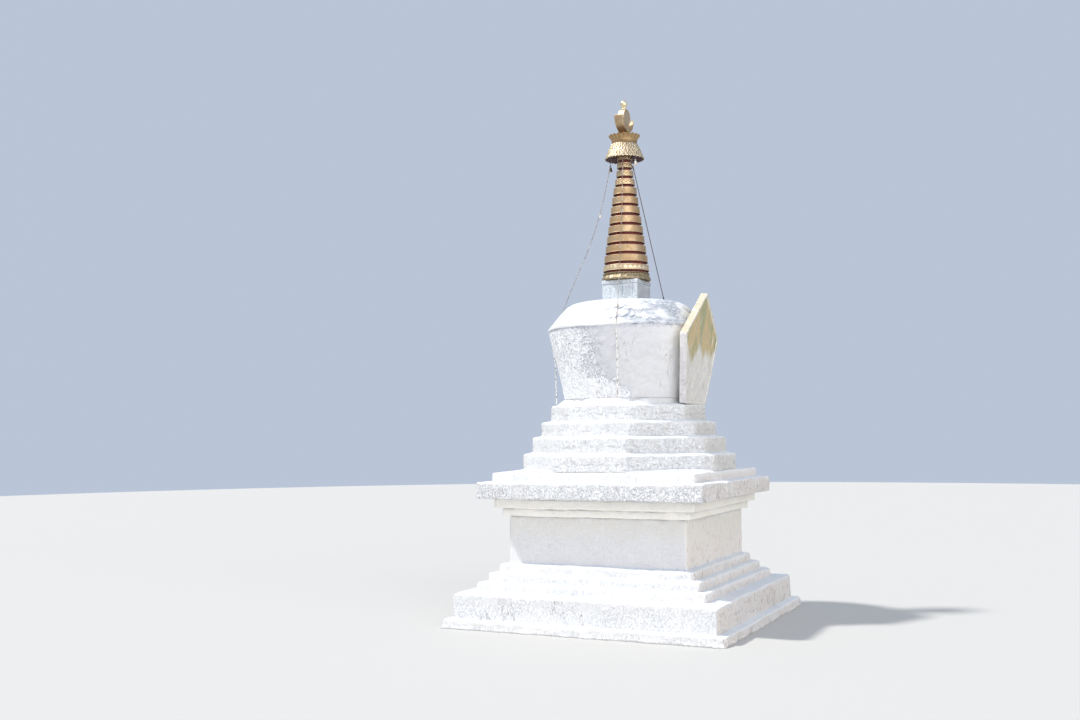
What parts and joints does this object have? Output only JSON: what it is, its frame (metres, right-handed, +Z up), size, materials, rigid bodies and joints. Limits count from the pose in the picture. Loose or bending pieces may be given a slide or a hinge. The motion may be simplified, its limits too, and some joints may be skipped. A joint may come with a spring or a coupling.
{
  "type": "stupa",
  "caption": "Whitewashed stupa: square stepped base, eight-sided tiers, vase-shaped dome with a niche plate, gilt ringed spire, and bells that swing under the canopy.",
  "frame": {"origin": "middle of the base at ground level", "axes": "+Z up, the niche plate faces -Y"},
  "size_m": [5.4, 5.4, 10.1916],
  "materials": {
    "whitewash": "lumpy limewash over plaster",
    "niche_plaster": "stained lime plaster",
    "gilt_copper": "gilt sheet, satin",
    "dark_red_core": "matt paint",
    "steel_chain": "weathered",
    "bell_bronze": "weathered bronze"
  },
  "bodies": {
    "stupa": {"ground_plinth": "whitewash", "base_plinth": "whitewash", "base_step_lower": "whitewash", "base_step_middle": "whitewash", "base_step_upper": "whitewash", "throne_block": "whitewash", "corbel_lower": "whitewash", "corbel_upper": "whitewash", "cornice_slab": "whitewash", "cornice_upper_step": "whitewash", "octagon_tier_1": "whitewash", "octagon_tier_2": "whitewash", "octagon_tier_3": "whitewash", "octagon_tier_4": "whitewash", "vase_foot_ring": "whitewash", "vase_body": "whitewash", "vase_shoulder": "whitewash", "harmika_block": "whitewash", "harmika_cap": "whitewash", "niche_plate": "niche_plaster", "niche_border": "niche_plaster", "lotus_ring": "gilt_copper", "spire_ring_01": "gilt_copper", "spire_ring_02": "gilt_copper", "spire_ring_03": "gilt_copper", "spire_ring_04": "gilt_copper", "spire_ring_05": "gilt_copper", "spire_ring_06": "gilt_copper", "spire_ring_07": "gilt_copper", "spire_ring_08": "gilt_copper", "spire_ring_09": "gilt_copper", "spire_ring_10": "gilt_copper", "spire_ring_11": "gilt_copper", "spire_ring_12": "gilt_copper", "spire_ring_13": "gilt_copper", "canopy": "gilt_copper", "crown": "gilt_copper", "moon_crescent": "gilt_copper", "sun_disc": "gilt_copper", "jewel": "gilt_copper", "spire_core": "dark_red_core", "chain_right": "steel_chain", "chain_back": "steel_chain", "chain_left": "steel_chain", "guy_wire_front": "steel_chain"},
    "bell_back": {"bell_back": "bell_bronze"},
    "bell_front": {"bell_front": "bell_bronze"}
  },
  "joints": [
    {"name": "bell_back_swing", "type": "hinge", "parent": "stupa", "child": "bell_back", "pos_m": [0.12928, 0.3552, 8.90833], "axis": [-0.9397, 0.342, 0], "range_deg": [-25, 25]},
    {"name": "bell_front_swing", "type": "hinge", "parent": "stupa", "child": "bell_front", "pos_m": [-0.21681, -0.30964, 8.90833], "axis": [0.8192, -0.5736, 0], "range_deg": [-25, 25]}
  ]
}
